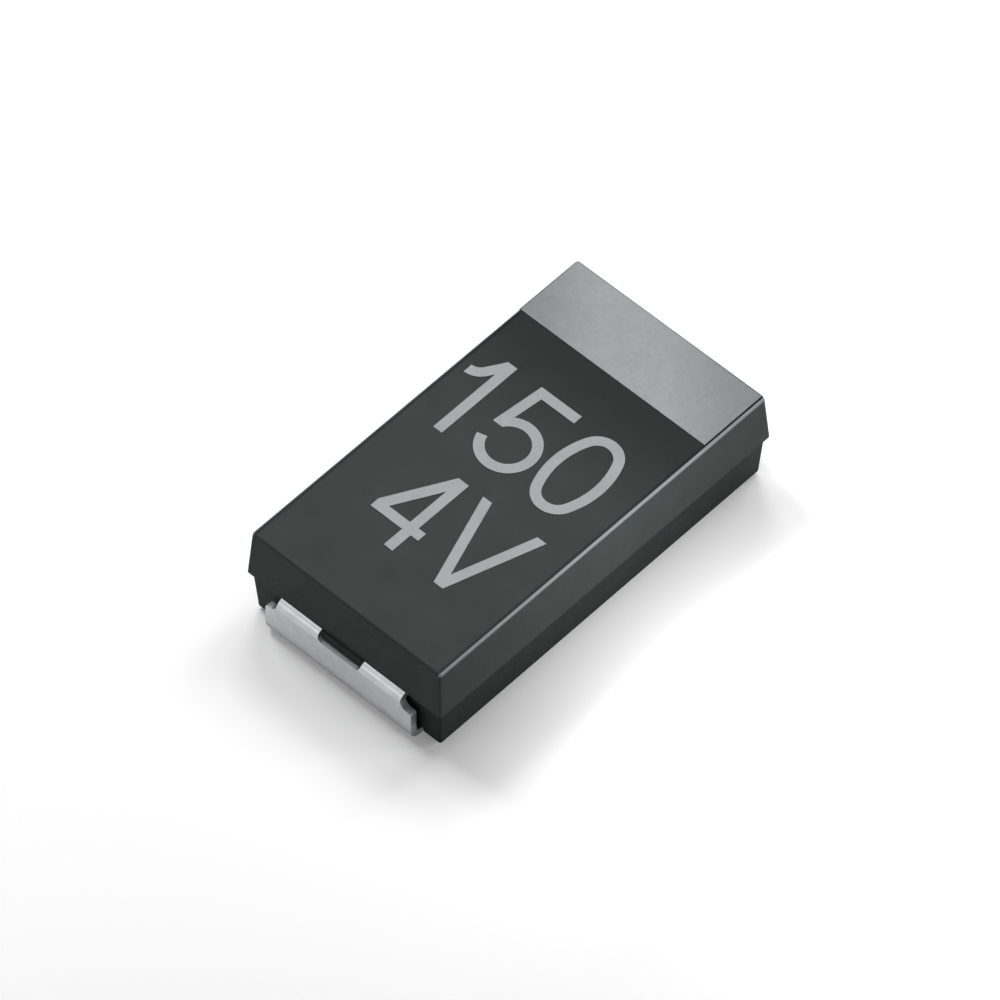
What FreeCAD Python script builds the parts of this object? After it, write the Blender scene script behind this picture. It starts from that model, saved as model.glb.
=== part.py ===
import FreeCAD, Part
import math
import os

# Surface-mount tantalum capacitor with manganese dioxide cathode, in a moulded
# case of the metric 6032-15 size. Millimetres, +Z up, board plane at Z = 0,
# +X towards the anode (the end with the polarity band).

# Moulded case
overall_length = 6.0          # over the outer faces of the two terminals
case_width = 3.2              # at the parting line, the widest place
overall_height = 1.5          # board to the top of the polarity band
parting_height = 0.72         # board to the parting line
case_standoff = 0.04          # board to the underside of the case
parting_step = 0.045          # the lower half is smaller all round by this much
upper_draft = 4.0             # degrees, mould draft of the upper half
lower_draft = 3.5             # degrees, mould draft of the lower half
case_corner_radius = 0.035    # upright corners
top_edge_radius = 0.03        # round the top face
underside_edge_radius = 0.03  # round the underside
ejector_mark_diameter = 0.8   # shallow witness of the ejector pin, underside
ejector_mark_depth = 0.02

# Polarity band, an ink film on the top face
band_length = 1.00
band_thickness = 0.01
band_edge_margin = 0.005      # film stops this far inside the flat of the top

# Terminals, folded from one lead-frame strip each
terminal_thickness = 0.10
pad_length = 1.30             # outer face of the leg to the tip of the pad
neck_width = 2.04             # where the strip leaves the case
notch_width = 0.70            # slot that splits the neck into two prongs
notch_drop = 0.13             # floor of the slot below the parting line
notch_corner_radius = 0.085
shoulder_drop = 0.20          # step from neck to pad width, below the parting line
shoulder_fillet_radius = 0.12 # concave, neck into shoulder
shoulder_flat = 0.02          # straight stretch between the fillet and the corner
shoulder_corner_radius = 0.04 # outer corner of the shoulder
pad_corner_radius = 0.10      # tip of the pad
upper_bend_radius = 0.04      # inside radius where the neck turns down
lower_bend_radius = 0.06      # inside radius where the leg turns under
joggle_bend_radius = 0.05     # inside radius of the step inside the case
slot_depth = 0.30             # how far the slot runs into the case
pocket_roof_clearance = 0.02  # pad to the roof of its pocket in the case
pocket_side_clearance = 0.04
tab_clearance = 0.01          # resin tab to the sides and floor of the notch
tab_recess = 0.06             # face of the resin tab behind the outer face of the leg

# Resin walls and the parts sealed inside
top_wall = 0.20
side_wall = 0.34
floor_wall = 0.145            # pocket roof to the cathode plate
joggle_margin = 0.12          # end of the slot to the top of the joggle
joggle_angle = 60.0           # degrees below the horizontal
joggle_clearance = 0.10       # foot of the joggle to the coated pellet
cathode_plate_length = 2.40   # under the pellet
weld_plate_length = 0.56      # anode plate inward of the slot
wire_free_length = 0.30       # between the washer and the anode plate
wire_end_margin = 0.10        # end of the wire short of the slot
wire_diameter = 0.25
wire_embedded_length = 2.0    # inside the sintered pellet
weld_flat_depth = 0.02        # wire flattened on to the anode plate
washer_diameter = 0.60
washer_thickness = 0.10
manganese_dioxide_thickness = 0.03
graphite_thickness = 0.02
silver_thickness = 0.04
graphite_setback = 0.10       # graphite stops short of the wire end of the pellet
silver_setback = 0.16         # silver paint stops shorter still
pellet_edge_radius = 0.08
adhesive_thickness = 0.03
adhesive_margin = 0.08        # adhesive stops short of the plate's edges

# Levels and stations that follow from the sizes above
half_length = overall_length / 2
case_top = overall_height - band_thickness
leg_inner_face = half_length - terminal_thickness
lower_end = leg_inner_face - upper_bend_radius
upper_end = lower_end + parting_step
upper_side = case_width / 2
lower_side = upper_side - parting_step
pocket_roof = terminal_thickness + pocket_roof_clearance
slot_end = lower_end - slot_depth
tab_end = half_length - tab_recess
shoulder_width = shoulder_fillet_radius + shoulder_flat + shoulder_corner_radius
pad_width = neck_width + 2 * shoulder_width
shoulder_height = parting_height - shoulder_drop
notch_floor_height = parting_height - notch_drop

plate_floor = pocket_roof + floor_wall
plate_top = plate_floor + terminal_thickness
joggle_head = slot_end - joggle_margin
joggle_run = (parting_height - plate_top) / math.tan(math.radians(joggle_angle))
joggle_foot = joggle_head - joggle_run
weld_plate_end = slot_end - weld_plate_length

coats_thickness = manganese_dioxide_thickness + graphite_thickness + silver_thickness
coated_end = joggle_foot - joggle_clearance
coated_floor = plate_top + adhesive_thickness
coated_top = case_top - top_wall
coated_side = upper_side - side_wall
wire_face = weld_plate_end - wire_free_length - washer_thickness
wire_axis_height = parting_height + wire_diameter / 2 - weld_flat_depth
reach = 2 * overall_length    # longer than anything, for cutting tools


def point(x, y, z):
    return FreeCAD.Vector(x, y, z)


def rounded_wire(corners):
    """Closed wire through (point, radius) corners, each rounded by a tangent arc."""
    starts = []
    ends = []
    arcs = []
    for index, (corner, radius) in enumerate(corners):
        back = (corners[index - 1][0] - corner).normalize()
        ahead = (corners[(index + 1) % len(corners)][0] - corner).normalize()
        half_angle = back.getAngle(ahead) / 2
        setback = radius / math.tan(half_angle)
        starts.append(corner + back * setback)
        ends.append(corner + ahead * setback)
        if radius > 0:
            bisector = (back + ahead).normalize()
            middle = corner + bisector * (radius / math.sin(half_angle) - radius)
            arcs.append(Part.Arc(starts[-1], middle, ends[-1]).toShape())
    edges = list(arcs)
    for end, start in zip(ends, starts[1:] + starts[:1]):
        if end.distanceToPoint(start) > 1e-6:
            edges.append(Part.LineSegment(end, start).toShape())
    return Part.Wire(Part.sortEdges(edges)[0])


def rounded_rectangle(half_x, half_y, height, radius):
    """Level rectangle about the Z axis with rounded corners."""
    signs = [(1, 1), (-1, 1), (-1, -1), (1, -1)]
    return rounded_wire([(point(half_x * sx, half_y * sy, height), radius) for sx, sy in signs])


def level_edges(shape, height):
    """Edges of a shape that lie wholly at one height."""
    return [edge for edge in shape.Edges
            if abs(edge.BoundBox.ZMin - height) < 1e-6 and abs(edge.BoundBox.ZMax - height) < 1e-6]


def drafted_half(end, side, parting, face, draft, edge_radius):
    """Half of the moulded case, tapered from the parting plane to its outer face."""
    taper = abs(face - parting) * math.tan(math.radians(draft))
    wide = rounded_rectangle(end, side, parting, case_corner_radius)
    narrow = rounded_rectangle(end - taper, side - taper, face, case_corner_radius)
    half = Part.makeLoft([wide, narrow], True, True)
    return half.makeFillet(edge_radius, level_edges(half, face))


def box_between(low, high):
    size = high - low
    return Part.makeBox(size.x, size.y, size.z, low)


def mirrored_to(side, shape):
    """Leave a shape at the anode end, or mirror it to the cathode end (side -1)."""
    if side > 0:
        return shape
    return shape.mirror(point(0, 0, 0), point(1, 0, 0))


def strip_section(path, bend_radii):
    """Side view of a folded strip, drawn from the line of its outer face.

    The path holds (x, z) points, the strip's thickness lies to the left of the
    way it runs, and each bend has its inside radius.
    """
    directions = []
    for (x0, z0), (x1, z1) in zip(path, path[1:]):
        length = math.hypot(x1 - x0, z1 - z0)
        directions.append(((x1 - x0) / length, (z1 - z0) / length))
    outer = []
    inner = []
    for index, (x, z) in enumerate(path):
        before = directions[max(index - 1, 0)]
        after = directions[min(index, len(directions) - 1)]
        turn = math.atan2(before[0] * after[1] - before[1] * after[0],
                          before[0] * after[0] + before[1] * after[1])
        normal_x = -(before[1] + after[1])
        normal_z = before[0] + after[0]
        scale = terminal_thickness / (1 + before[0] * after[0] + before[1] * after[1])
        radius = bend_radii.get(index, 0)
        outside = radius + terminal_thickness if radius else 0
        outer.append((point(x, 0, z), outside if turn > 0 else radius))
        inner.append((point(x + normal_x * scale, 0, z + normal_z * scale),
                      radius if turn > 0 else outside))
    return Part.Face(rounded_wire(outer + inner[::-1]))


def folded_strip(path, bend_radii):
    """Strip of the full pad width, folded along a path."""
    section = strip_section(path, bend_radii)
    section.translate(point(0, -pad_width / 2, 0))
    return section.extrude(point(0, pad_width, 0))


def neck_cutter(sign):
    """Removes the strip beside the neck, above the shoulder, on one side."""
    neck = sign * neck_width / 2
    beyond = sign * pad_width
    outline = [(point(0, beyond, shoulder_height), 0),
               (point(0, neck, shoulder_height), shoulder_fillet_radius),
               (point(0, neck, reach), 0),
               (point(0, beyond, reach), 0)]
    cutter = Part.Face(rounded_wire(outline)).extrude(point(reach, 0, 0))
    cutter.translate(point(slot_end, 0, 0))
    return cutter


def plate_cutter(sign):
    """Brings the strip inside the case to the neck width on one side."""
    near = neck_width / 2
    far = pad_width
    low = point(-reach, near if sign > 0 else -far, pocket_roof)
    high = point(slot_end, far if sign > 0 else -near, reach)
    return box_between(low, high)


def notch_cutter():
    """Slot through the leg and the exit, open into the case."""
    half = notch_width / 2
    outline = [(point(0, -half, notch_floor_height), notch_corner_radius),
               (point(0, half, notch_floor_height), notch_corner_radius),
               (point(0, half, reach), 0),
               (point(0, -half, reach), 0)]
    cutter = Part.Face(rounded_wire(outline)).extrude(point(reach, 0, 0))
    cutter.translate(point(slot_end, 0, 0))
    return cutter


def shoulder_edges(shape):
    """Edges along X at the outer corners of the two shoulders."""
    found = []
    for edge in shape.Edges:
        box = edge.BoundBox
        at_side = abs(abs(box.YMin) - pad_width / 2) < 1e-6 and box.YLength < 1e-6
        if at_side and abs(box.ZMin - shoulder_height) < 1e-6 and box.ZLength < 1e-6:
            found.append(edge)
    return found


def pad_tip_edges(shape):
    """Upright edges at the two corners of the pad's tip."""
    tip = half_length - pad_length
    found = []
    for edge in shape.Edges:
        box = edge.BoundBox
        if abs(box.XMin - tip) < 1e-6 and box.XLength < 1e-6 and box.YLength < 1e-6:
            if box.ZMax < pocket_roof:
                found.append(edge)
    return found


def terminal(inner_path):
    """One terminal at the anode end: pad, leg, neck and the part inside the case."""
    outer_path = [(half_length - pad_length, 0), (half_length, 0), (half_length, parting_height)]
    path = outer_path + inner_path
    bends = {1: lower_bend_radius, 2: upper_bend_radius}
    for index in range(len(outer_path), len(path) - 1):
        bends[index] = joggle_bend_radius
    shape = folded_strip(path, bends)
    for sign in (1, -1):
        shape = shape.cut(neck_cutter(sign))
        shape = shape.cut(plate_cutter(sign))
    shape = shape.cut(notch_cutter())
    shape = shape.makeFillet(shoulder_corner_radius, shoulder_edges(shape))
    shape = shape.makeFillet(pad_corner_radius, pad_tip_edges(shape))
    return shape.removeSplitter()


def make_anode_terminal():
    return terminal([(weld_plate_end, parting_height)])


def make_cathode_terminal():
    plate_end = coated_end - cathode_plate_length
    inner_path = [(joggle_head, parting_height), (joggle_foot, plate_top), (plate_end, plate_top)]
    return mirrored_to(-1, terminal(inner_path))


def coated_block(skin, far_end):
    """Pellet grown by a skin on all sides, its wire end cut square at far_end."""
    inset = coats_thickness - skin
    low = point(-coated_end + inset, -coated_side + inset, coated_floor + inset)
    high = point(wire_face + skin, coated_side - inset, coated_top - inset)
    block = box_between(low, high)
    block = block.makeFillet(pellet_edge_radius + skin, block.Edges)
    if far_end >= high.x:
        return block
    return block.cut(box_between(point(far_end, -reach, -reach), point(reach, reach, reach)))


def x_cylinder(diameter, start, end):
    """Round bar on the wire's axis between two stations."""
    return Part.makeCylinder(diameter / 2, end - start, point(start, 0, wire_axis_height),
                             point(1, 0, 0))


def wire_bore():
    """Room for the wire from its buried end outwards."""
    return x_cylinder(wire_diameter, wire_face - wire_embedded_length, reach)


def make_anode_wire():
    wire = x_cylinder(wire_diameter, wire_face - wire_embedded_length, slot_end - wire_end_margin)
    flat = box_between(point(weld_plate_end, -wire_diameter, parting_height - wire_diameter),
                       point(slot_end, wire_diameter, parting_height))
    return wire.cut(flat)


def make_wire_washer():
    ring = x_cylinder(washer_diameter, wire_face, wire_face + washer_thickness)
    return ring.cut(x_cylinder(wire_diameter, wire_face, wire_face + washer_thickness))


def make_pellet():
    return coated_block(0, reach).cut(wire_bore())


def coat(inside, thickness, far_end):
    """Layer of one thickness over what lies inside it, as far as far_end."""
    layer = coated_block(inside + thickness, far_end).cut(coated_block(inside, reach))
    return layer.cut(wire_bore())


def make_manganese_dioxide_coat():
    layer = coat(0, manganese_dioxide_thickness, reach)
    return layer.cut(x_cylinder(washer_diameter, wire_face, reach))


def make_graphite_coat():
    return coat(manganese_dioxide_thickness, graphite_thickness, wire_face - graphite_setback)


def make_silver_coat():
    inside = manganese_dioxide_thickness + graphite_thickness
    return coat(inside, silver_thickness, wire_face - silver_setback)


def make_silver_adhesive():
    half_width = neck_width / 2 - adhesive_margin
    start = -coated_end + pellet_edge_radius + coats_thickness
    end = -coated_end + cathode_plate_length - adhesive_margin
    return box_between(point(start, -half_width, plate_top),
                       point(end, half_width, coated_floor))


def notch_tab():
    """Resin tab of the case that fills the notch between the prongs, at the anode end."""
    half = notch_width / 2 - tab_clearance
    floor = notch_floor_height + tab_clearance
    outline = [(point(0, -half, floor), notch_corner_radius - tab_clearance),
               (point(0, half, floor), notch_corner_radius - tab_clearance),
               (point(0, half, parting_height), 0),
               (point(0, -half, parting_height), 0)]
    tab = Part.Face(rounded_wire(outline)).extrude(point(tab_end - slot_end, 0, 0))
    tab.translate(point(slot_end, 0, 0))
    return tab


def pad_pocket():
    """Recess in the underside for one pad, at the anode end."""
    half = pad_width / 2 + pocket_side_clearance
    start = half_length - pad_length - pocket_side_clearance
    return box_between(point(start, -half, -reach), point(reach, half, pocket_roof))


def make_case(sealed_parts):
    """Case moulded round the parts in one shot, so they leave their own cavities."""
    upper = drafted_half(upper_end, upper_side, parting_height, case_top, upper_draft,
                         top_edge_radius)
    lower = drafted_half(lower_end, lower_side, parting_height, case_standoff, lower_draft,
                         underside_edge_radius)
    case = upper.fuse(lower)
    for side in (1, -1):
        case = case.fuse(mirrored_to(side, notch_tab()))
        case = case.cut(mirrored_to(side, pad_pocket()))
    case = case.cut(Part.makeCylinder(ejector_mark_diameter / 2, ejector_mark_depth,
                                      point(0, 0, case_standoff)))
    for part in sealed_parts:
        case = case.cut(part)
    return case.removeSplitter()


def make_polarity_band():
    """Ink film over the full width of the top face at the anode end."""
    taper = (case_top - parting_height) * math.tan(math.radians(upper_draft))
    inset = taper + top_edge_radius + band_edge_margin
    end = upper_end - inset
    half_width = upper_side - inset
    return box_between(point(end - band_length, -half_width, case_top),
                       point(end, half_width, overall_height))


def single_solid(shape):
    if len(shape.Solids) != 1 or not shape.isValid():
        raise ValueError("expected one valid solid")
    return shape.Solids[0]


parts = {
    "anode_terminal": make_anode_terminal(),
    "cathode_terminal": make_cathode_terminal(),
    "anode_wire": make_anode_wire(),
    "wire_washer": make_wire_washer(),
    "tantalum_pellet": make_pellet(),
    "manganese_dioxide_coat": make_manganese_dioxide_coat(),
    "graphite_coat": make_graphite_coat(),
    "silver_coat": make_silver_coat(),
    "silver_adhesive": make_silver_adhesive(),
}
parts["moulded_case"] = make_case(list(parts.values()))
parts["polarity_band"] = make_polarity_band()

os.makedirs("parts", exist_ok=True)
for name, shape in parts.items():
    solid = single_solid(shape)
    solid.exportStep(os.path.join("parts", name + ".step"))
    print(name, round(solid.Volume, 5), "mm3")
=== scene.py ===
import math

import bpy
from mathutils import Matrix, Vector


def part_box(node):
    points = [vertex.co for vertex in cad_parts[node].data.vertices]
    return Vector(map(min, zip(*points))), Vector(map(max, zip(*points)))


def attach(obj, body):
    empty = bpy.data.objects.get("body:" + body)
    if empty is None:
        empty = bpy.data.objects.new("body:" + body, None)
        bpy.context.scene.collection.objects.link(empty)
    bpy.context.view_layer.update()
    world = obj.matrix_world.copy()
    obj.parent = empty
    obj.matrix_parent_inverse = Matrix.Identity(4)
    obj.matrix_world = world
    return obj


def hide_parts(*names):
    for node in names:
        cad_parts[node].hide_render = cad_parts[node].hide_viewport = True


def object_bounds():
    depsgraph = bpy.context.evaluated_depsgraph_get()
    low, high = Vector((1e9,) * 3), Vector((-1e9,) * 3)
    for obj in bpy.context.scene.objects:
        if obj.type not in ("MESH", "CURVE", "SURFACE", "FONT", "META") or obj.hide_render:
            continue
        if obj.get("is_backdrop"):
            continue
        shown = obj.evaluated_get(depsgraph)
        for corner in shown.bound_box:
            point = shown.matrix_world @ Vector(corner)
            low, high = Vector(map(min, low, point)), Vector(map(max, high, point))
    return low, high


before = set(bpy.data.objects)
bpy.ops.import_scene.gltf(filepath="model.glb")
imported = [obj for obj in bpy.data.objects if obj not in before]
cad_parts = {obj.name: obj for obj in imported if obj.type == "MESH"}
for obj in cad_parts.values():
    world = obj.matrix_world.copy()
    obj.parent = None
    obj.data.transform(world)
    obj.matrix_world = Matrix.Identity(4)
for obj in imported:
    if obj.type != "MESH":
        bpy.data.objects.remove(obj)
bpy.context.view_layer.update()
print("parts:", ", ".join(sorted(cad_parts)))

# %% [markdown]
# Blender's modelling tools have small built-in tolerances that suit objects about as large
# as a chair. A radius of 0.03 mm, written in metres, would come close to them. So each
# part is modelled on a bench where one unit is a millimetre, and only the finished mesh is
# brought down to metres. Sizes are read from the construction wherever it has them.
# %% Read the sizes in millimetres
MILLIMETRE = 0.001


def box_in_mm(node):
    """Lowest and highest corner of a part, in millimetres."""
    low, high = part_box(node)
    return low / MILLIMETRE, high / MILLIMETRE


case_low, case_high = box_in_mm("moulded_case")
anode_low, anode_high = box_in_mm("anode_terminal")
cathode_plate_end = box_in_mm("cathode_terminal")[1].x
band_low = box_in_mm("polarity_band")[0]
print("case:", [round(side, 3) for side in case_high - case_low], "mm")

# %% [markdown]
# These sizes can't be read from a box, so they are written here once: the strip that the
# terminals are folded from, its notch and shoulders, and the drafts and radii of the mould.
# %% Sizes of the lead frame and the mould
strip = 0.10                  # thickness of the lead frame
neck_half = 1.02              # half width where the strip leaves the case
notch_half = 0.35             # half width of the slot between the prongs
notch_floor = 0.59
notch_round = 0.085
shoulder_height = 0.52
shoulder_fillet = 0.12
shoulder_round = 0.04
pad_round = 0.10
upper_bend = 0.04             # inside radii of the folds
lower_bend = 0.06
joggle_bend = 0.05
joggle_angle = math.radians(60)
joggle_margin = 0.12
slot_depth = 0.30
weld_plate_length = 0.56

parting_step = 0.045
upper_draft = math.radians(4.0)
lower_draft = math.radians(3.5)
corner_round = 0.035
top_round = 0.03
underside_round = 0.03
pocket_gap = 0.02
pocket_side_gap = 0.04
tab_gap = 0.01
ejector_mark_radius = 0.4
ejector_mark_depth = 0.02

outer_face = anode_high.x
parting = anode_high.z
pad_tip = anode_low.x
pad_half = anode_high.y
tab_end = case_high.x
lower_end = outer_face - strip - upper_bend
upper_end = lower_end + parting_step
upper_side = case_high.y
lower_side = upper_side - parting_step
case_top = case_high.z
underside = case_low.z
slot_end = lower_end - slot_depth
plate_top = box_in_mm("silver_adhesive")[0].z
print("parting line at", round(parting, 3), "mm, pads", round(2 * pad_half, 3), "mm wide")

# %% [markdown]
# An operator works on whatever is selected, and the loaded parts come in selected. These
# helpers put one object on the bench alone, and pick its faces or edges by where they are.
# %% Helpers for picking
def clear_bench():
    """Leave edit mode with nothing selected."""
    if bpy.context.mode != "OBJECT":
        bpy.ops.object.mode_set(mode="OBJECT")
    bpy.ops.object.select_all(action="DESELECT")


def alone(piece):
    """Make one object the only one selected."""
    clear_bench()
    piece.select_set(True)
    bpy.context.view_layer.objects.active = piece


def pick(piece, kind, test):
    """Enter edit mode with the faces or edges selected that pass a test on their place."""
    alone(piece)
    mesh = piece.data
    bpy.context.tool_settings.mesh_select_mode = (False, kind == "EDGE", kind == "FACE")
    for vertex in mesh.vertices:
        vertex.select = False
    for edge in mesh.edges:
        ends = [mesh.vertices[index].co for index in edge.vertices]
        edge.select = kind == "EDGE" and test(*ends)
    for face in mesh.polygons:
        face.select = kind == "FACE" and test(face.center, face.normal)
    bpy.ops.object.mode_set(mode="EDIT")


def near(a, b):
    return abs(a - b) < 1e-4


def upright(a, b):
    return abs(a.z - b.z) > 0.9 * (a - b).length


def along_x(a, b):
    return abs(a.x - b.x) > 0.9 * (a - b).length


def level(a, b, height):
    return near(a.z, height) and near(b.z, height)


# %% [markdown]
# Every part starts as a block. A primitive comes in scaled, and the scale is applied at
# once, so that later sizes are true. Blocks also serve as cutters: a modifier takes their
# shape out of a part or adds it, is applied, and the cutter is thrown away.
# %% Helpers for blocks and cutters
FAR = 10.0                    # beyond everything on the bench


def block(name, low, high):
    """Box between two corners, with its size in its mesh."""
    low, high = Vector(low), Vector(high)
    clear_bench()
    bpy.ops.mesh.primitive_cube_add(size=1, location=(low + high) / 2, scale=high - low)
    bpy.ops.object.transform_apply(location=True, rotation=True, scale=True)
    piece = bpy.context.active_object
    piece.name = name
    return piece


def bar(name, radius, start, end):
    """Round bar between two points on a line along X or Z."""
    start, end = Vector(start), Vector(end)
    clear_bench()
    turned = (0, math.pi / 2, 0) if near(start.z, end.z) else (0, 0, 0)
    bpy.ops.mesh.primitive_cylinder_add(vertices=48, radius=radius, depth=(end - start).length,
                                        location=(start + end) / 2, rotation=turned)
    bpy.ops.object.transform_apply(location=True, rotation=True, scale=True)
    piece = bpy.context.active_object
    piece.name = name
    return piece


def bevel_edges(piece, radius, segments, test):
    """Round the edges that pass a test."""
    pick(piece, "EDGE", test)
    bpy.ops.mesh.bevel(offset=radius, offset_type="OFFSET", segments=segments, profile=0.5,
                       affect="EDGES")
    bpy.ops.object.mode_set(mode="OBJECT")


def tidy_shell(piece):
    """Merge what lies on one spot and turn every face outwards."""
    alone(piece)
    bpy.ops.object.mode_set(mode="EDIT")
    bpy.ops.mesh.select_all(action="SELECT")
    bpy.ops.mesh.remove_doubles(threshold=1e-5)
    bpy.ops.mesh.normals_make_consistent(inside=False)
    bpy.ops.object.mode_set(mode="OBJECT")


def combine(piece, tool, operation, keep_tool=False):
    """Cut a tool out of a piece, or add it, and throw the tool away."""
    alone(piece)
    change = piece.modifiers.new("combine", "BOOLEAN")
    change.operation = operation
    change.solver = "EXACT"
    change.object = tool
    bpy.ops.object.modifier_apply(modifier=change.name)
    if not keep_tool:
        bpy.data.objects.remove(tool)


def mirrored(piece):
    """Turn a piece into its mirror image at the other end of the object."""
    alone(piece)
    piece.scale.x = -1
    bpy.ops.object.transform_apply(location=True, rotation=True, scale=True)
    tidy_shell(piece)
    return piece


# %% [markdown]
# A terminal is one strip of plated lead frame. After moulding it leaves the case at the
# parting line, is folded down along the end face and then under the case as the solder
# pad. The strip could be drawn as a side view and extruded across, but folding it as the
# press does keeps one even thickness: the end face is extruded along each straight run
# and spun about each bend, starting from the tip of the pad.
# %% Fold a strip
BEND_STEP = math.radians(9)
QUARTER = math.pi / 2


def fold_strip(name, turns):
    """Strip of the pad width at the anode end, folded through (bend, angle, run) turns."""
    first_bend = turns[0][0] + strip
    piece = block(name, (pad_tip, -pad_half, 0), (outer_face - first_bend, pad_half, strip))
    bevel_edges(piece, pad_round, 8, lambda a, b: upright(a, b) and near(a.x, pad_tip))
    pick(piece, "FACE", lambda centre, normal: normal.x > 0.9)
    place = Vector((outer_face - first_bend, 0, 0))
    heading = 0.0
    for bend, angle, run in turns:
        side = 1 if angle > 0 else -1
        radius = bend + strip if angle > 0 else bend
        left = Vector((-math.sin(heading), 0, math.cos(heading)))
        centre = place + side * radius * left
        bpy.ops.mesh.spin(steps=max(4, round(abs(angle) / BEND_STEP)), angle=abs(angle),
                          center=centre, axis=(0, side, 0), use_auto_merge=False)
        heading += angle
        left = Vector((-math.sin(heading), 0, math.cos(heading)))
        ahead = Vector((math.cos(heading), 0, math.sin(heading)))
        bpy.ops.mesh.extrude_region_move(TRANSFORM_OT_translate={"value": ahead * run})
        place = centre - side * radius * left + ahead * run
    tidy_shell(piece)
    print(name, "ends at x", round(place.x, 3), "z", round(place.z, 3))
    return piece


# %% [markdown]
# Inside the case the two strips differ. The anode's runs straight in as the plate that the
# wire is welded to. The cathode's steps down, so that the pellet can lie on it: two bends
# of 60 degrees, one each way, whose tangent points shorten the runs between them.
# %% Fold both strips
leg_run = parting - lower_bend - upper_bend - 2 * strip
neck_start = outer_face - upper_bend - strip
weld_plate_end = slot_end - weld_plate_length
anode_strip = fold_strip("anode_strip", [
    (lower_bend, QUARTER, leg_run),
    (upper_bend, QUARTER, neck_start - weld_plate_end),
])

joggle_head = slot_end - joggle_margin
joggle_drop = parting - plate_top
joggle_foot = joggle_head - joggle_drop / math.tan(joggle_angle)
head_tangent = (joggle_bend + strip) * math.tan(joggle_angle / 2)
foot_tangent = joggle_bend * math.tan(joggle_angle / 2)
slope_run = joggle_drop / math.sin(joggle_angle) - head_tangent - foot_tangent
cathode_strip = fold_strip("cathode_strip", [
    (lower_bend, QUARTER, leg_run),
    (upper_bend, QUARTER, neck_start - joggle_head - head_tangent),
    (joggle_bend, joggle_angle, slope_run),
    (joggle_bend, -joggle_angle, joggle_foot - foot_tangent + cathode_plate_end),
])

# %% [markdown]
# The press tool also stamps the outline: above the pad the strip narrows through a rounded
# shoulder to the neck, and a slot with rounded corners splits the neck into two prongs, so
# that resin can lock it. Cutters with those roundings are taken out of the folded strip.
# %% Stamp the outline
def beside(name, side, inner, start, end, floor):
    """Block that holds all that lies beside the strip, on one side."""
    near_y, far_y = sorted((side * inner, side * FAR))
    return block(name, (start, near_y, floor), (end, far_y, FAR))


def stamp(piece):
    """Cut neck, shoulders and notch."""
    for side in (-1, 1):
        shoulder = beside("shoulder", side, neck_half, slot_end, FAR, shoulder_height)
        bevel_edges(shoulder, shoulder_fillet, 8, lambda a, b: along_x(a, b)
                    and level(a, b, shoulder_height) and near(a.y, side * neck_half))
        combine(piece, shoulder, "DIFFERENCE")
        flank = beside("flank", side, neck_half, -FAR, slot_end, strip + pocket_gap)
        combine(piece, flank, "DIFFERENCE")
    notch = block("notch", (slot_end, -notch_half, notch_floor), (FAR, notch_half, FAR))
    bevel_edges(notch, notch_round, 8,
                lambda a, b: along_x(a, b) and level(a, b, notch_floor))
    combine(piece, notch, "DIFFERENCE")
    bevel_edges(piece, shoulder_round, 6, lambda a, b: along_x(a, b)
                and level(a, b, shoulder_height) and near(abs(a.y), pad_half))
    tidy_shell(piece)
    print(piece.name, len(piece.data.polygons), "faces after stamping")


stamp(anode_strip)
stamp(cathode_strip)
mirrored(cathode_strip)

# %% [markdown]
# The case is moulded in two halves that meet at the parting line, and each half tapers away
# from it so that it leaves the mould. The lower half is a little smaller all round, which
# is the step that runs round the object. Each half is a block of its own, so its upright
# corners can be rounded without touching the other's, and the two are joined afterwards.
# The lower block reaches a little way into the upper one, so that they share no face.
# %% Mould the two halves
overlap = 0.1                 # of the lower block inside the upper one
parting_round = 0.010         # a mould's parting edge is sharp, but never perfectly so


def draw_in(height, end, side, taper):
    """Shrink the selected face for the mould draft."""
    bpy.ops.transform.resize(value=((end - taper) / end, (side - taper) / side, 1),
                             center_override=(0, 0, height))


def upper_half(name, grown=0.0):
    """Upper half of the case, or the same shape with its faces a little further out."""
    end, side, top = upper_end + grown, upper_side + grown, case_top + grown
    piece = block(name, (-end, -side, parting), (end, side, top))
    pick(piece, "FACE", lambda centre, normal: normal.z > 0.9)
    draw_in(top, end, side, (top - parting) * math.tan(upper_draft))
    bevel_edges(piece, corner_round + grown, 6, upright)
    bevel_edges(piece, top_round + grown, 6, lambda a, b: level(a, b, top))
    return piece


case = upper_half("resin_case")
bevel_edges(case, parting_round, 2, lambda a, b: level(a, b, parting))

lower_half = block("lower_half", (-lower_end, -lower_side, underside),
                   (lower_end, lower_side, parting))
pick(lower_half, "FACE", lambda centre, normal: normal.z < -0.9)
draw_in(underside, lower_end, lower_side, (parting - underside) * math.tan(lower_draft))
pick(lower_half, "FACE", lambda centre, normal: normal.z > 0.9)
bpy.ops.mesh.extrude_region_move(TRANSFORM_OT_translate={"value": (0, 0, overlap)})
bevel_edges(lower_half, corner_round, 6, upright)
bevel_edges(lower_half, underside_round, 4, lambda a, b: level(a, b, underside))
combine(case, lower_half, "UNION")
print("case shell:", len(case.data.polygons), "faces")

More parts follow.
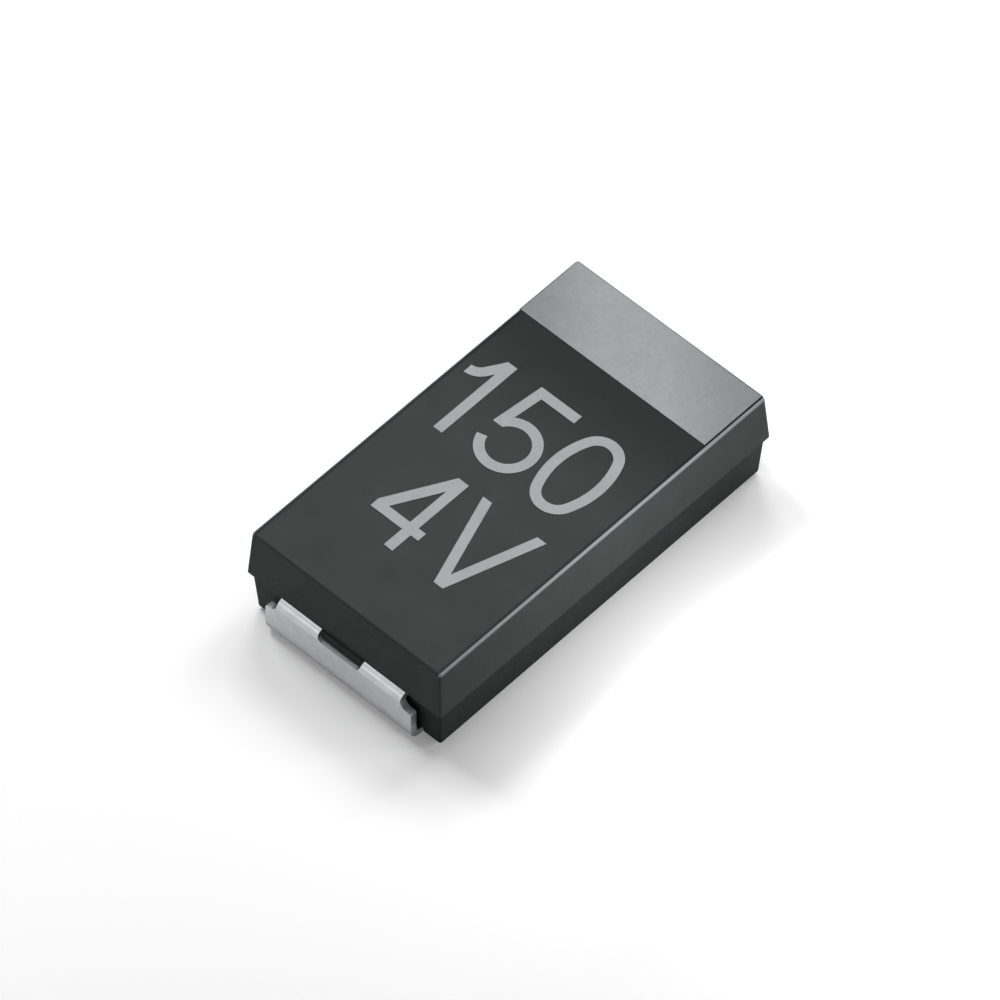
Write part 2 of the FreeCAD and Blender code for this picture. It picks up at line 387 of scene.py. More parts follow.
# %% [markdown]
# The resin flows through each notch and sets as a tab between the prongs, a little proud of
# the end. Underneath, each pad lies in a shallow pocket, and the pin that pushes the part
# out of the mould leaves a round witness mark.
# %% Add the tabs, cut the pockets
tab_round = 0.012
for side in (1, -1):
    tab = block("tab", (slot_end, tab_gap - notch_half, notch_floor + tab_gap),
                (tab_end, notch_half - tab_gap, parting + parting_round))
    bevel_edges(tab, notch_round - tab_gap, 8,
                lambda a, b: along_x(a, b) and level(a, b, notch_floor + tab_gap))
    bevel_edges(tab, tab_round, 2, lambda a, b: near(a.x, tab_end) and near(b.x, tab_end))
    pocket_half = pad_half + pocket_side_gap
    pocket = block("pocket", (pad_tip - pocket_side_gap, -pocket_half, -FAR),
                   (FAR, pocket_half, strip + pocket_gap))
    if side < 0:
        mirrored(tab)
        mirrored(pocket)
    combine(case, tab, "UNION")
    combine(case, pocket, "DIFFERENCE")
mark_floor = underside + ejector_mark_depth
mark = bar("mark", ejector_mark_radius, (0, 0, -FAR), (0, 0, mark_floor))
combine(case, mark, "DIFFERENCE")
print("case with tabs and pockets:", len(case.data.polygons), "faces")

# %% [markdown]
# The case is moulded round its inside parts, so they leave their own room in it. The coated
# pellet's room is three nested blocks, because each coat stops a little shorter at the
# wire end. Then come the washer, the wire, the adhesive and the two strips themselves.
# %% Leave room for what is inside
pellet_round = 0.08           # each coat is rounded by its own thickness more
pellet_low, pellet_high = box_in_mm("tantalum_pellet")
for node in ("silver_coat", "graphite_coat", "manganese_dioxide_coat"):
    low, high = box_in_mm(node)
    room = block(node + "_room", low, high)
    cut_square = high.x < pellet_high.x
    bevel_edges(room, pellet_round + pellet_low.x - low.x, 5, lambda a, b: not (
        cut_square and near(a.x, high.x) and near(b.x, high.x)))
    combine(case, room, "DIFFERENCE")
for node in ("wire_washer", "anode_wire"):
    low, high = box_in_mm(node)
    axis_height = high.z - high.y
    room = bar(node + "_room", high.y, (low.x, 0, axis_height), (high.x, 0, axis_height))
    combine(case, room, "DIFFERENCE")
low, high = box_in_mm("silver_adhesive")
combine(case, block("adhesive_room", low, high), "DIFFERENCE")
combine(case, anode_strip, "DIFFERENCE", keep_tool=True)
combine(case, cathode_strip, "DIFFERENCE", keep_tool=True)
tidy_shell(case)
print("case with its rooms:", len(case.data.polygons), "faces")

# %% [markdown]
# A sheared strip has sharp edges, but never perfectly so. A radius of about a hundredth of a
# millimetre on them is what catches a thin line of light. Weighted normals then keep the
# large faces flat up to their rounded borders.
# %% Break the sharp edges
burr_round = 0.012
FLAT_ANGLE = math.radians(35)


def settle(piece):
    """Smooth shading with flat faces kept flat, then down from the bench to metres."""
    alone(piece)
    bpy.ops.object.shade_smooth_by_angle(angle=FLAT_ANGLE)
    weigh = piece.modifiers.new("weigh", "WEIGHTED_NORMAL")
    weigh.keep_sharp = True
    bpy.ops.object.modifier_apply(modifier=weigh.name)
    piece.scale = (MILLIMETRE,) * 3
    bpy.ops.object.transform_apply(location=True, rotation=True, scale=True)
    print(piece.name, "settled with", len(piece.data.polygons), "faces")


def break_edges(piece, radius):
    """Small radius on every sharp edge."""
    alone(piece)
    soften = piece.modifiers.new("soften", "BEVEL")
    soften.width = radius
    soften.segments = 2
    soften.limit_method = "ANGLE"
    soften.angle_limit = FLAT_ANGLE
    bpy.ops.object.modifier_apply(modifier=soften.name)


settle(case)
for piece in (anode_strip, cathode_strip):
    break_edges(piece, burr_round)
    settle(piece)

# %% [markdown]
# The polarity band is a film of pale ink across the top at the anode end. The ink runs over
# the rounded edges at the back and on the left, and stops short of the one on the right. A
# film that follows a rounding is what is left between the case and the same shape grown by
# the thickness of the ink.
# %% Print the polarity band
film = 0.008
bare_line = 0.012             # resin left bare beside the right-hand edge

band = upper_half("band_ink", film)
printed = block("printed", (band_low.x, band_low.y + bare_line, case_top - top_round),
                (FAR, FAR, FAR))
combine(band, printed, "INTERSECT")
combine(band, upper_half("under_the_ink"), "DIFFERENCE")
tidy_shell(band)
settle(band)

# %% [markdown]
# The marking is plain numbers: a capacitance code over a voltage, in strokes of even width
# with square ends. A font would bring its own shapes, so each stroke is drawn with a pen:
# an edge as long as the stroke is wide, extruded along straight runs and spun round bends.
# The text reads towards -Y with its top towards +X, so (across, up) means (-y, x) there.
# %% A pen for the marking
pen_width = 0.14
arc_step = 2.5                # degrees between two sections of an arc


def on_top(across, up):
    return Vector((up, -across, case_top))


def pen_down(across, up, level_edge, width=pen_width):
    """New stroke: one edge centred on a spot, level or upright on the marking."""
    clear_bench()
    bpy.ops.mesh.primitive_plane_add(size=width, location=on_top(across, up))
    bpy.ops.object.transform_apply(location=True, rotation=True, scale=True)
    stroke = bpy.context.active_object
    bpy.ops.object.mode_set(mode="EDIT")
    pressed = (0, 1, 1) if level_edge else (1, 0, 1)
    bpy.ops.transform.resize(value=pressed, center_override=on_top(across, up))
    bpy.ops.mesh.remove_doubles(threshold=width / 10)
    bpy.context.tool_settings.mesh_select_mode = (False, True, False)
    bpy.ops.mesh.select_all(action="SELECT")
    return stroke


def pen_line(across, up):
    """Straight run of the pen."""
    step = on_top(across, up) - on_top(0, 0)
    bpy.ops.mesh.extrude_region_move(TRANSFORM_OT_translate={"value": step})


def pen_turn(across, up, degrees):
    """Arc of the pen round a centre, anticlockwise if positive."""
    steps = max(4, round(abs(degrees) / arc_step))
    bpy.ops.mesh.spin(steps=steps, angle=math.radians(abs(degrees)), center=on_top(across, up),
                      axis=(0, 0, -1 if degrees > 0 else 1), use_auto_merge=False)


def pen_up(stroke):
    """Give a finished stroke the thickness of the ink."""
    alone(stroke)
    bpy.ops.object.mode_set(mode="EDIT")
    bpy.ops.mesh.select_all(action="SELECT")
    bpy.ops.mesh.remove_doubles(threshold=1e-4)
    bpy.ops.object.mode_set(mode="OBJECT")
    thicken = stroke.modifiers.new("thicken", "SOLIDIFY")
    thicken.thickness = film
    thicken.offset = 0
    bpy.ops.object.modifier_apply(modifier=thicken.name)
    tidy_shell(stroke)
    bpy.ops.object.mode_set(mode="EDIT")
    bpy.ops.mesh.select_all(action="SELECT")
    bpy.ops.transform.translate(value=(0, 0, film / 2))
    bpy.ops.object.mode_set(mode="OBJECT")
    return stroke


def glyph(strokes):
    """Join the strokes of one sign where they cross."""
    first = strokes[0]
    for other in strokes[1:]:
        combine(first, other, "UNION")
    return first


# %% [markdown]
# The signs share one height. A nought is an oval of four arcs: two wide ones for its flanks
# and two tight ones for its ends, which meet without a kink when their centres line up
# with the points where they meet.
# %% Draw the nought
cap_height = 1.33
overshoot = 0.015
row_one = -0.21               # foot of the upper row, along X
row_two = -1.90
nought_half = 0.41            # half its width, over the stroke
nought_drop = 0.02            # its foot lies a little below the row's
end_radius = 0.27             # of the tight arcs


def nought(centre, foot):
    """Oval between a foot line and the cap height, along the middle of the stroke."""
    half_width = nought_half - pen_width / 2
    half_height = cap_height / 2 + overshoot - pen_width / 2
    rise = half_height - end_radius
    flank_radius = ((half_width ** 2 + rise ** 2 - end_radius ** 2)
                    / (2 * (half_width - end_radius)))
    middle = foot + cap_height / 2
    shift = flank_radius - half_width
    flank = math.degrees(math.atan2(rise, shift))
    stroke = pen_down(centre + half_width, middle, True)
    pen_turn(centre - shift, middle, flank)
    pen_turn(centre, middle + rise, 180 - 2 * flank)
    pen_turn(centre + shift, middle, 2 * flank)
    pen_turn(centre, middle - rise, 180 - 2 * flank)
    pen_turn(centre - shift, middle, flank)
    return pen_up(stroke)


marking = [nought(centre=0.70, foot=row_one - nought_drop)]
print("nought:", len(marking[0].data.polygons), "faces")

# %% [markdown]
# The one has no foot, and its flag is a short arc that straightens towards the top, where it
# is cut level. The five is a bar, a leaning stem and a bowl that is drawn both ways from its
# highest place.
# %% Draw the one and the five
def one(stem, foot):
    top = foot + cap_height
    upright_stroke = pen_down(stem, foot, True)
    pen_line(0, cap_height)
    pen_up(upright_stroke)
    flag_tip, flag_height, flag_radius = 0.38, 0.40, 0.235
    flag_rise, flag_run = 58, 0.36
    flag = pen_down(stem - flag_tip, top - flag_height, False)
    pen_turn(stem - flag_tip, top - flag_height + flag_radius, flag_rise)
    angle = math.radians(flag_rise)
    pen_line(flag_run * math.cos(angle), flag_run * math.sin(angle))
    pen_up(flag)
    above = block("above", (top, -FAR, 0), (FAR, FAR, FAR))
    combine(flag, above, "DIFFERENCE")
    beyond_stem = block("beyond_stem", (0, -FAR, 0), (FAR, -stem, FAR))
    combine(flag, beyond_stem, "DIFFERENCE")
    return glyph([upright_stroke, flag])


def five(centre, foot):
    top = foot + cap_height
    half = pen_width / 2
    bowl_radius, bowl_back, bowl_front = 0.355, 58, 255
    bowl_centre = foot + bowl_radius + half - overshoot
    bowl = pen_down(centre, bowl_centre + bowl_radius, False)
    pen_turn(centre, bowl_centre, bowl_back)
    bpy.ops.object.mode_set(mode="OBJECT")
    pick(bowl, "EDGE", lambda a, b: near(a.y, -centre) and near(b.y, -centre))
    pen_turn(centre, bowl_centre, -bowl_front)
    pen_up(bowl)
    stem_left, stem_foot, stem_lean = 0.325, 0.56, 0.085
    stem = pen_down(centre - stem_left, foot + stem_foot, True)
    pen_line(stem_lean, cap_height - stem_foot)
    pen_up(stem)
    head_left, head_length = 0.31, 0.66
    head = pen_down(centre - head_left, top - half, False)
    pen_line(head_length, 0)
    pen_up(head)
    return glyph([bowl, stem, head])


marking += [one(stem=-0.995, foot=row_one), five(centre=-0.213, foot=row_one)]
print("one and five:", [len(sign.data.polygons) for sign in marking[1:]], "faces")

# %% [markdown]
# The four and the V are straight strokes. Their slopes start from level edges, so their
# ends are cut level without further work. All the signs are then one piece of ink.
# %% Draw the four and the V
def four(stem, foot):
    upright_stroke = pen_down(stem, foot, True)
    pen_line(0, cap_height)
    pen_up(upright_stroke)
    bar_left, bar_height, bar_length = 0.59, 0.385, 0.78
    crossbar = pen_down(stem - bar_left, foot + bar_height, False)
    pen_line(bar_length, 0)
    pen_up(crossbar)
    slope_left, slope_width, slope_foot = 0.505, 0.17, 0.455
    slope = pen_down(stem - slope_left, foot + slope_foot, True, slope_width)
    pen_line(slope_left - slope_width / 2 + pen_width / 2, cap_height - slope_foot)
    pen_up(slope)
    return glyph([upright_stroke, crossbar, slope])


def volt(centre, foot):
    reach, arm_width = 0.445, 0.145
    arms = []
    for side in (-1, 1):
        arm = pen_down(centre + side * reach, foot + cap_height, True, arm_width)
        pen_line(-side * reach, -cap_height)
        arms.append(pen_up(arm))
    return glyph(arms)


marking += [four(stem=-0.205, foot=row_two), volt(centre=0.615, foot=row_two)]
clear_bench()
for sign in marking:
    sign.select_set(True)
bpy.context.view_layer.objects.active = marking[0]
bpy.ops.object.join()
value_marking = bpy.context.active_object
value_marking.name = "value_marking"
settle(value_marking)

# %% [markdown]
# Materials read Object coordinates, and these are metres. Two patterns serve nearly every
# finish here, so each is a node group: a fine grain, and streaks drawn out along X as
# rolled or drawn metal has them. Their sizes are given in millimetres.
# %% Node groups for grain and streaks
def pattern_group(name, inputs, stretch):
    """Noise group with named inputs in millimetres and one value as output."""
    group = bpy.data.node_groups.new(name, "ShaderNodeTree")
    for label, value in inputs:
        socket = group.interface.new_socket(label, in_out="INPUT", socket_type="NodeSocketFloat")
        socket.default_value = value
    group.interface.new_socket("Value", in_out="OUTPUT", socket_type="NodeSocketFloat")
    nodes, links = group.nodes, group.links
    given = nodes.new("NodeGroupInput")
    place = nodes.new("ShaderNodeTexCoord")
    sizes = nodes.new("ShaderNodeCombineXYZ")
    for axis, label in zip("XYZ", stretch):
        links.new(given.outputs[label], sizes.inputs[axis])
    in_metres = nodes.new("ShaderNodeVectorMath")
    in_metres.operation = "SCALE"
    in_metres.inputs["Scale"].default_value = MILLIMETRE
    links.new(sizes.outputs["Vector"], in_metres.inputs["Vector"])
    divided = nodes.new("ShaderNodeVectorMath")
    divided.operation = "DIVIDE"
    links.new(place.outputs["Object"], divided.inputs[0])
    links.new(in_metres.outputs["Vector"], divided.inputs[1])
    noise = nodes.new("ShaderNodeTexNoise")
    noise.inputs["Scale"].default_value = 1.0
    noise.inputs["Detail"].default_value = 3.0
    links.new(divided.outputs["Vector"], noise.inputs["Vector"])
    result = nodes.new("NodeGroupOutput")
    links.new(noise.outputs["Fac"], result.inputs["Value"])
    return group


grain_group = pattern_group("grain", [("Size", 0.05)], ("Size", "Size", "Size"))
streak_group = pattern_group("streaks", [("Length", 1.0), ("Width", 0.03)],
                             ("Length", "Width", "Width"))
print("node groups:", grain_group.name, "and", streak_group.name)

# %% [markdown]
# Each material is built from the same few steps: a base colour that a slow pattern varies
# a little, a roughness that a fine pattern varies, and a shallow bump. A bump's height is
# in metres as well, and a real moulded or plated surface is only microns rough.
# %% Helpers for materials
def new_material(name, metallic=0.0, specular=0.5):
    material = bpy.data.materials.new(name)
    material.use_nodes = True
    shader = material.node_tree.nodes["Principled BSDF"]
    shader.inputs["Metallic"].default_value = metallic
    shader.inputs["Specular IOR Level"].default_value = specular
    return material, shader


def pattern(material, group, **sizes):
    """Place a pattern group in a material with its own sizes, in millimetres."""
    node = material.node_tree.nodes.new("ShaderNodeGroup")
    node.node_tree = group
    for label, value in sizes.items():
        node.inputs[label].default_value = value
    return node.outputs["Value"]


def vary_colour(material, shader, mask, low, high, contrast=0.2):
    """Base colour between two colours, by a mask."""
    ramp = material.node_tree.nodes.new("ShaderNodeValToRGB")
    ramp.color_ramp.elements[0].position = 0.5 - contrast
    ramp.color_ramp.elements[1].position = 0.5 + contrast
    ramp.color_ramp.elements[0].color = (*low, 1)
    ramp.color_ramp.elements[1].color = (*high, 1)
    material.node_tree.links.new(mask, ramp.inputs["Fac"])
    material.node_tree.links.new(ramp.outputs["Color"], shader.inputs["Base Color"])
    return ramp.outputs["Color"]


def vary_roughness(material, shader, mask, low, high):
    spread = material.node_tree.nodes.new("ShaderNodeMapRange")
    spread.inputs["From Min"].default_value = 0.3
    spread.inputs["From Max"].default_value = 0.7
    spread.inputs["To Min"].default_value = low
    spread.inputs["To Max"].default_value = high
    material.node_tree.links.new(mask, spread.inputs["Value"])
    material.node_tree.links.new(spread.outputs["Result"], shader.inputs["Roughness"])


def add_bump(material, shader, mask, height_mm, strength=1.0):
    bump = material.node_tree.nodes.new("ShaderNodeBump")
    bump.inputs["Strength"].default_value = strength
    bump.inputs["Distance"].default_value = height_mm * MILLIMETRE
    material.node_tree.links.new(mask, bump.inputs["Height"])
    material.node_tree.links.new(bump.outputs["Normal"], shader.inputs["Normal"])


# %% [markdown]
# Some colours here change with the place on the part, and most of these are painted light and
# shade. A mask for that is a value that climbs or falls between two places along an axis, and
# masks multiply where both have to hold.
# %% Helpers for masks by place
def axis_values(material):
    """X, Y and Z of the object's own coordinates, in millimetres."""
    nodes, links = material.node_tree.nodes, material.node_tree.links
    place = nodes.new("ShaderNodeTexCoord")
    scaled = nodes.new("ShaderNodeVectorMath")
    scaled.operation = "SCALE"
    scaled.inputs["Scale"].default_value = 1 / MILLIMETRE
    links.new(place.outputs["Object"], scaled.inputs[0])
    apart = nodes.new("ShaderNodeSeparateXYZ")
    links.new(scaled.outputs["Vector"], apart.inputs["Vector"])
    return apart.outputs


def calculate(material, operation, first, second=0.0):
    node = material.node_tree.nodes.new("ShaderNodeMath")
    node.operation = operation
    for socket, value in zip(node.inputs, (first, second)):
        if isinstance(value, float):
            socket.default_value = value
        else:
            material.node_tree.links.new(value, socket)
    return node.outputs["Value"]


def climb(material, value, start, end):
    """0 before start and 1 beyond end, or the other way round where end lies first."""
    spread = material.node_tree.nodes.new("ShaderNodeMapRange")
    spread.interpolation_type = "SMOOTHSTEP"
    spread.inputs["From Min"].default_value = min(start, end)
    spread.inputs["From Max"].default_value = max(start, end)
    spread.inputs["To Min"].default_value = float(start > end)
    spread.inputs["To Max"].default_value = float(start < end)
    material.node_tree.links.new(value, spread.inputs["Value"])
    return spread.outputs["Result"]


def blend_colour(material, mask, under, over, kind="MIX"):
    """Colour over another one where the mask is 1."""
    mix = material.node_tree.nodes.new("ShaderNodeMix")
    mix.data_type = "RGBA"
    mix.blend_type = kind
    material.node_tree.links.new(mask, mix.inputs["Factor"])
    material.node_tree.links.new(under, mix.inputs["A"])
    mix.inputs["B"].default_value = (*over, 1)
    return mix.outputs["Result"]


# %% [markdown]
# The moulding compound is a black filled epoxy. It is dark grey and matt, with a faint mottle
# and the fine grain of the mould. The picture draws the lower half darker and the top darker
# towards the band, and masks by place paint that shade into the colour. Along the upper edge of
# the long side in view it draws a thin light line with a darker border, and the other long edge
# is made alike: a painted highlight with a line of painted shade beside it. What causes these
# tones isn't known, so masks by place set them. The specular level is lower than a real
# epoxy's, which keeps the white floor's reflection off the sides.
# %% Moulding compound
flat_depth = 0.0005           # depth below the top down to which all is flat
# Where the painted highlight on the top's long edges lies, and the line of painted shade inside
# it.
line_start = 0.003            # depths at which the light line is full, fades and ends
line_fades = 0.01
line_end = 0.06
edge_shade_full = 0.02            # distances from the line at which the border is full and ends
edge_shade_end = 0.045
mask_edge = 0.002             # half widths of the masks' soft edges
parting_edge = 0.001
top_shade_starts = 0.1        # place along X where the top starts to darken

resin, shader = new_material("moulding_compound_finish", specular=0.05)
resin_colour = vary_colour(resin, shader, pattern(resin, grain_group, Size=0.5),
                           (0.040, 0.048, 0.046), (0.046, 0.055, 0.053))
x, y, z = axis_values(resin)
from_middle = calculate(resin, "ABSOLUTE", y)
flat_half = upper_side - (case_top - parting) * math.tan(upper_draft) - top_round
on_flat = climb(resin, z, case_top - 2 * flat_depth, case_top - flat_depth)
# Painted shade: the lower half is darkened below the parting line.
lower_half_painted_shade = climb(resin, z, parting + parting_edge, parting - parting_edge)
# Painted shade: the flat top darkens from the middle towards the band.
top_painted_shade = calculate(resin, "MULTIPLY", climb(resin, x, top_shade_starts, band_low.x), on_flat)
# Painted shade: a darker line on the flat top just inside each long edge.
painted_edge_shade = calculate(resin, "MULTIPLY", on_flat, climb(resin, from_middle, flat_half - edge_shade_end,
                                                     flat_half - edge_shade_full))
# Painted highlight: a light line on the rounding of each long top edge.
below_flat = climb(resin, z, case_top - flat_depth, case_top - line_start)
above_line_end = climb(resin, z, case_top - line_end, case_top - line_fades)
line_height = calculate(resin, "MULTIPLY", below_flat, above_line_end)
beyond_flat = climb(resin, from_middle, flat_half - mask_edge, flat_half + mask_edge)
painted_highlight_line = calculate(resin, "MULTIPLY", line_height, beyond_flat)
# The painted shade and the painted highlight go into the base colour here.
resin_colour = blend_colour(resin, lower_half_painted_shade, resin_colour, (0.40, 0.40, 0.40), "MULTIPLY")
resin_colour = blend_colour(resin, top_painted_shade, resin_colour, (0.45, 0.46, 0.46), "MULTIPLY")
resin_colour = blend_colour(resin, painted_edge_shade, resin_colour, (0.55, 0.57, 0.6), "MULTIPLY")
resin_colour = blend_colour(resin, painted_highlight_line, resin_colour, (0.33, 0.35, 0.365))
resin.node_tree.links.new(resin_colour, shader.inputs["Base Color"])
vary_roughness(resin, shader, pattern(resin, grain_group, Size=0.06), 0.46, 0.54)
add_bump(resin, shader, pattern(resin, grain_group, Size=0.03), 0.0012, 0.5)

# %% [markdown]
# The ink is grey with a satin finish. The signs are even, but the picture draws the broad band a
# little darker than them, lightest in a streak across its middle and darker towards both ends.
# That is a sheen, and a mask by place paints it into the band's colour: a painted highlight
# across the middle, and painted shade towards both ends and over the rest of the band. The cause
# isn't known, so a mask by place sets these tones too. The lamp behind the object lies almost in
# the top's mirror direction, so the ink looks lighter from the main camera than it is written.
# %% Marking ink
# Where the painted highlight lies across the band and where its painted shade is deepest.
sheen_slant = math.radians(43.2)     # angle to the long side, upright in the picture
sheen_from, sheen_to = 1.35, 1.55     # borders of the lightest ink, across the streak
dark_before, dark_beyond = 0.2, 2.95  # places where it is darkest
least_darkening = 0.15
band_border = 0.1                     # between the signs and the band, for the mask's edge

ink, shader = new_material("marking_ink_finish", specular=0.5)
ink_colour = vary_colour(ink, shader, pattern(ink, grain_group, Size=0.35),
                         (0.226, 0.243, 0.243), (0.252, 0.269, 0.269))
place = axis_values(ink)
# Painted sheen: lightest along a slanted strip across the band, painted darker towards both
# ends.
forwards = calculate(ink, "MULTIPLY", place["X"], math.sin(sheen_slant))
sideways = calculate(ink, "MULTIPLY", place["Y"], math.cos(sheen_slant))
across_sheen = calculate(ink, "SUBTRACT", forwards, sideways)
darker_left = climb(ink, across_sheen, sheen_from, dark_before)
darker_right = climb(ink, across_sheen, sheen_to, dark_beyond)
darker = calculate(ink, "MAXIMUM", darker_left, darker_right)
darker = calculate(ink, "MAXIMUM", darker, least_darkening)
on_band = climb(ink, place["X"], band_low.x - band_border, band_low.x)
darker = calculate(ink, "MULTIPLY", darker, on_band)
ink_colour = blend_colour(ink, darker, ink_colour, (0.47, 0.47, 0.485), "MULTIPLY")
ink.node_tree.links.new(ink_colour, shader.inputs["Base Color"])
vary_roughness(ink, shader, pattern(ink, grain_group, Size=0.04), 0.38, 0.46)
add_bump(ink, shader, pattern(ink, grain_group, Size=0.025), 0.001, 0.4)

# %% [markdown]
# The lead frame is rolled alloy with matt tin over it. Rolling marks show as fine streaks along
# the level runs of the strip, and the tin adds a soft grain. The picture draws the lower bend
# darker than the leg above it, so a mask by place paints shade into the tin's colour there and
# on the pad, which the picture doesn't show.
# %% Tinned lead frame
tin, shader = new_material("tinned_lead_frame_finish", metallic=1.0)
tin_colour = vary_colour(tin, shader, pattern(tin, grain_group, Size=0.12),
                         (0.50, 0.505, 0.515), (0.565, 0.57, 0.58))
# Painted shade: the tin's colour is darkened from the lower bend down to the pad.
lower_bend_painted_shade = climb(tin, axis_values(tin)["Z"], 2 * strip + lower_bend, strip / 2)
tin_colour = blend_colour(tin, lower_bend_painted_shade, tin_colour, (0.58, 0.58, 0.59), "MULTIPLY")
tin.node_tree.links.new(tin_colour, shader.inputs["Base Color"])
vary_roughness(tin, shader, pattern(tin, grain_group, Size=0.03), 0.34, 0.44)
add_bump(tin, shader, pattern(tin, streak_group, Length=0.6, Width=0.02), 0.001, 0.4)

# %% [markdown]
# The parts sealed in the resin have their finishes too, because the object can be shown
# taken apart: sintered tantalum is a dull porous grey, the drawn wire has streaks along
# it, manganese dioxide is black and granular, graphite is dark with a slight sheen, silver
# paint is pale and coarse, and the washer is white fluoropolymer.
# %% Finishes inside the case
def granular(name, low, high, size, roughness, bump_mm, metallic=0.0, specular=0.5):
    """Matt grainy finish for a pressed, sintered, dipped or moulded part."""
    material, shader = new_material(name, metallic, specular)
    vary_colour(material, shader, pattern(material, grain_group, Size=4 * size), low, high)
    vary_roughness(material, shader, pattern(material, grain_group, Size=2 * size),
                   roughness - 0.06, roughness + 0.06)
    add_bump(material, shader, pattern(material, grain_group, Size=size), bump_mm)
    return material


sintered = granular("sintered_tantalum_finish", (0.16, 0.16, 0.17), (0.24, 0.24, 0.25),
                    0.03, 0.7, 0.006, metallic=0.6)
dioxide = granular("manganese_dioxide_finish", (0.015, 0.014, 0.014), (0.03, 0.028, 0.027),
                   0.03, 0.75, 0.004, specular=0.3)
graphite = granular("graphite_finish", (0.035, 0.036, 0.038), (0.06, 0.061, 0.064),
                    0.04, 0.5, 0.002, metallic=0.3)
silver = granular("silver_paint_finish", (0.62, 0.62, 0.61), (0.74, 0.74, 0.73),
                  0.04, 0.5, 0.003, metallic=0.9)
washer_white = granular("fluoropolymer_finish", (0.78, 0.78, 0.77), (0.84, 0.84, 0.83),
                        0.05, 0.42, 0.001)
wire_metal, shader = new_material("tantalum_finish", metallic=1.0)
vary_colour(wire_metal, shader, pattern(wire_metal, grain_group, Size=0.15),
            (0.33, 0.33, 0.35), (0.40, 0.40, 0.42))
vary_roughness(wire_metal, shader, pattern(wire_metal, streak_group, Length=0.8, Width=0.01),
               0.28, 0.42)
add_bump(wire_metal, shader, pattern(wire_metal, streak_group, Length=0.8, Width=0.01), 0.0008)
print("materials:", ", ".join(material.name for material in bpy.data.materials
                              if material.name.endswith("_finish")))

# %% [markdown]
# The new pieces take their finish and stand in for the plainer construction parts. The
# hidden parts keep their own shape and only change their material.
# %% Dress the parts
def dress(piece, material, node=None):
    """Finish a new piece, tie it to the object and let it stand for its plainer part."""
    piece.data.materials.clear()
    piece.data.materials.append(material)
    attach(piece, "root")
    if node is not None:
        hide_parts(node)


dress(case, resin, "moulded_case")
anode_strip.name = "anode_lead"
cathode_strip.name = "cathode_lead"
dress(anode_strip, tin, "anode_terminal")
dress(cathode_strip, tin, "cathode_terminal")
dress(band, ink, "polarity_band")
dress(value_marking, ink)

inner_finishes = {
    "tantalum_pellet": sintered,
    "anode_wire": wire_metal,
    "wire_washer": washer_white,
    "manganese_dioxide_coat": dioxide,
    "graphite_coat": graphite,
    "silver_coat": silver,
    "silver_adhesive": silver,
}
for node, material in inner_finishes.items():
    for material_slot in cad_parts[node].material_slots:
        material_slot.link = "OBJECT"
        material_slot.material = material
print("dressed", len(inner_finishes), "hidden parts and 5 new pieces")

# %% [markdown]
# The camera stands where the picture was taken from: far off with a long lens, nearly 53
# degrees above the board, looking at the near end and the right side. It aims a little
# beside the middle of the object, because the object sits a little off the picture's middle.
# %% Set up the camera
azimuth = math.radians(-46.77)
elevation = math.radians(52.80)
camera_distance = 124.5 * MILLIMETRE
focal_length = 371.7          # millimetres on a 36 mm sensor
aim_height = 0.5 * MILLIMETRE
aim_right = -0.118 * MILLIMETRE
aim_up = 0.177 * MILLIMETRE

back = Vector((math.sin(azimuth) * math.cos(elevation),
               -math.cos(azimuth) * math.cos(elevation), math.sin(elevation)))
right = Vector((math.cos(azimuth), math.sin(azimuth), 0))
up = back.cross(right)
aim = Vector((0, 0, aim_height)) + right * aim_right + up * aim_up
camera_data = bpy.data.cameras.new("camera")
camera_data.lens = focal_length
camera_data.sensor_width = 36.0
camera_data.clip_start = camera_distance / 100
camera_data.clip_end = 100 * camera_distance
camera = bpy.data.objects.new("camera", camera_data)
camera.location = aim + back * camera_distance
camera.rotation_mode = "QUATERNION"
camera.rotation_quaternion = (-back).to_track_quat("-Z", "Y")
bpy.context.scene.collection.objects.link(camera)
bpy.context.scene.camera = camera
print("camera at", [round(value * 1000, 1) for value in camera.location], "mm")

# %% [markdown]
# The light is a plain soft studio. Three broad boxes high behind the object are the key,
# so its soft shadow falls towards the camera and the near end stays dark. Two small boxes
# light the long side, brightest at its middle, and one beyond the near end shines in the
# upper bend of the lead. A weak one above lifts the near half of the top a little. Each
# lamp's power follows from its size and how bright it looks.
# %% Light the object
scene = bpy.context.scene
scene.view_settings.view_transform = "Standard"


def softbox(name, place, aim, size, brightness):
    """Square lamp, placed, aimed and sized in millimetres, as bright as it looks from there."""
    data = bpy.data.lights.new(name, "AREA")
    data.size = size * MILLIMETRE
    data.energy = brightness * math.pi * data.size ** 2
    lamp = bpy.data.objects.new(name, data)
    lamp.location = Vector(place) * MILLIMETRE
    lamp.rotation_mode = "QUATERNION"
    lamp.rotation_quaternion = (Vector(aim) - Vector(place)).to_track_quat("-Z", "Y")
    lamp.visible_camera = False
    scene.collection.objects.link(lamp)


softbox("behind", (26, 25, 49), (0, 0, 0), 20, 9.0)
softbox("back_left", (3, 36, 48), (0, 0, 0), 20, 12.5)
softbox("back_right", (37, 3, 47), (0, 0, 0), 20, 7.0)
softbox("above_near_end", (-1.2, 0.6, 5.5), (-1.2, 0.3, 1.5), 2, 1.0)
softbox("right_side", (0.4, -9, 4), (0.4, -1.6, 1), 3, 3.8)
softbox("right_middle", (0.4, -4.6, 2.0), (0.4, -1.6, 1), 1.4, 11.0)
softbox("near_end", (-12.6, 5, 6.6), (-3, 0, 1.3), 3, 2.6)

world = bpy.data.worlds.new("studio")
scene.world = world
world.use_nodes = True
world_nodes, world_links = world.node_tree.nodes, world.node_tree.links
world_nodes.clear()
fill = world_nodes.new("ShaderNodeBackground")
fill.inputs["Strength"].default_value = 0.05
white = world_nodes.new("ShaderNodeBackground")
white.inputs["Strength"].default_value = 1.0


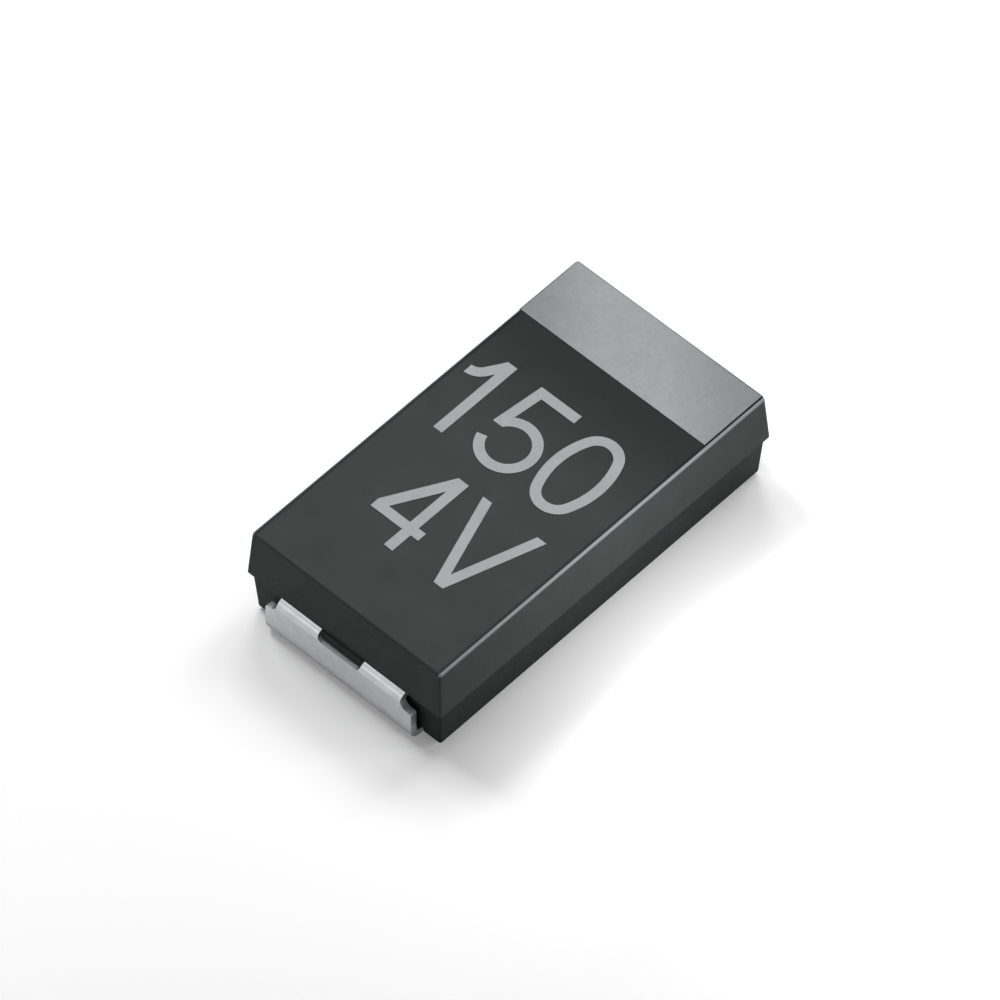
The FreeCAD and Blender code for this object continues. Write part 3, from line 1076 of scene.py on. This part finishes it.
def seen_directly(nodes, links):
    """1 for a ray from the camera, a mirror or glass, and 0 for light that only fills."""
    path = nodes.new("ShaderNodeLightPath")
    total = path.outputs["Is Camera Ray"]
    for label in ("Is Glossy Ray", "Is Transmission Ray"):
        larger = nodes.new("ShaderNodeMath")
        larger.operation = "MAXIMUM"
        links.new(total, larger.inputs[0])
        links.new(path.outputs[label], larger.inputs[1])
        total = larger.outputs["Value"]
    return total


choice = world_nodes.new("ShaderNodeMixShader")
world_links.new(seen_directly(world_nodes, world_links), choice.inputs["Fac"])
world_links.new(fill.outputs["Background"], choice.inputs[1])
world_links.new(white.outputs["Background"], choice.inputs[2])
output = world_nodes.new("ShaderNodeOutputWorld")
world_links.new(choice.outputs["Shader"], output.inputs["Surface"])

# %% [markdown]
# The floor is white paper. It takes the object's soft shadow, and a little glow that only
# the camera and mirrors see lifts the lit paper to full white.
# %% Lay the floor
floor_size = 1.2
clear_bench()
bpy.ops.mesh.primitive_plane_add(size=floor_size, location=(0, 0, -0.002 * MILLIMETRE))
floor = bpy.context.active_object
floor.name = "floor"
paper = bpy.data.materials.new("paper")
paper.use_nodes = True
nodes, links = paper.node_tree.nodes, paper.node_tree.links
nodes.clear()
lit = nodes.new("ShaderNodeBsdfDiffuse")
lit.inputs["Color"].default_value = (0.98, 0.98, 0.98, 1)
glow = nodes.new("ShaderNodeEmission")
glow_level = nodes.new("ShaderNodeMath")
glow_level.operation = "MULTIPLY"
glow_level.inputs[1].default_value = 0.18
links.new(seen_directly(nodes, links), glow_level.inputs[0])
links.new(glow_level.outputs["Value"], glow.inputs["Strength"])
both = nodes.new("ShaderNodeAddShader")
links.new(lit.outputs["BSDF"], both.inputs[0])
links.new(glow.outputs["Emission"], both.inputs[1])
output = nodes.new("ShaderNodeOutputMaterial")
links.new(both.outputs["Shader"], output.inputs["Surface"])
floor.data.materials.append(paper)
floor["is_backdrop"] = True

# %% [markdown]
# Last, the size of the dressed object is noted beside the size of the construction.
# %% Note the sizes and finish
clear_bench()
low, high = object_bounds()
print("dressed:", [round(side * 1000, 3) for side in high - low], "mm")
